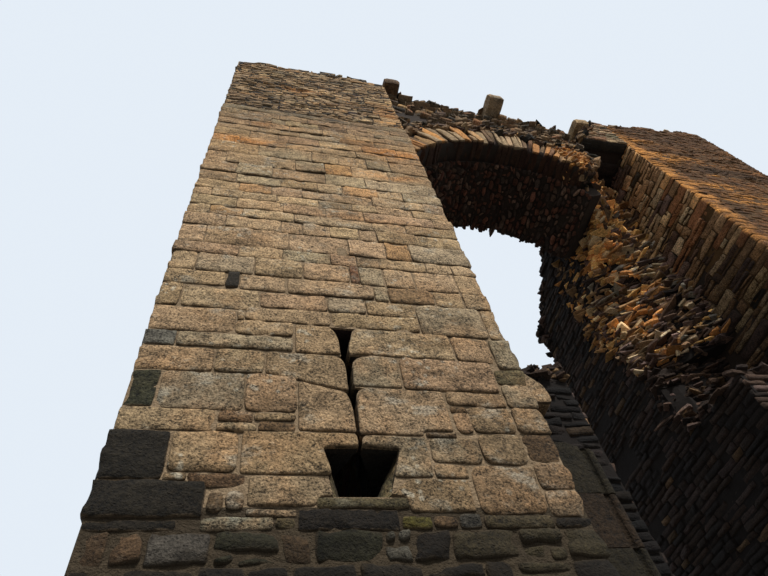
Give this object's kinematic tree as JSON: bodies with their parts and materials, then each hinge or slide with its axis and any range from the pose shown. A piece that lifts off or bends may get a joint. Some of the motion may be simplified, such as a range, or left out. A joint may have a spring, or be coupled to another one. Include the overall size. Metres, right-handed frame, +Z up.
{
  "type": "ruined castle keep gate block",
  "caption": "Ruined twin-towered gate block of a castle keep, with arrow slits, moulded gate jambs, a broken rubble core and a high vault between the towers.",
  "frame": {"origin": "on the ground at the middle of the model's outline", "axes": "+Z up, the gate faces -Y, +X to the right of someone who looks at the gate"},
  "size_m": [11, 5.43, 14.2561],
  "materials": {
    "granite": "weathered dressed granite",
    "dark_granite": "dark weathered dressed stone",
    "rubble": "mortared rubble",
    "schist": "thin-coursed schist",
    "broken_core": "broken rubble core",
    "flagstone": "worn paving"
  },
  "bodies": {
    "root": {"left_footing": "rubble", "left_chamber_floor": "flagstone", "left_front_foot": "rubble", "left_slit_sill": "granite", "left_slit_cheek_outer": "granite", "left_slit_cheek_gate": "granite", "left_front_ashlar": "granite", "left_front_crown": "rubble", "left_outer_wall": "rubble", "left_gate_wall": "granite", "left_rear_pier_outer": "rubble", "left_rear_pier_gate": "rubble", "left_rear_lintel": "granite", "left_rear_upper": "rubble", "right_footing": "rubble", "right_chamber_floor": "flagstone", "right_front_foot": "rubble", "right_slit_sill": "granite", "right_slit_cheek_outer": "granite", "right_slit_cheek_gate": "granite", "right_front_ashlar": "granite", "right_front_crown": "rubble", "right_outer_wall": "rubble", "right_gate_wall": "granite", "right_rear_pier_outer": "rubble", "right_rear_pier_gate": "rubble", "right_rear_lintel": "granite", "right_rear_upper": "rubble", "left_jamb": "dark_granite", "right_jamb": "dark_granite", "left_lining": "schist", "right_lining": "schist", "right_core_lower": "broken_core", "right_core_upper": "broken_core", "right_haunch": "schist", "right_hood": "dark_granite", "arch_ring": "broken_core", "high_vault": "schist", "arch_fill": "broken_core", "corbels": "dark_granite"}
  },
  "joints": []
}
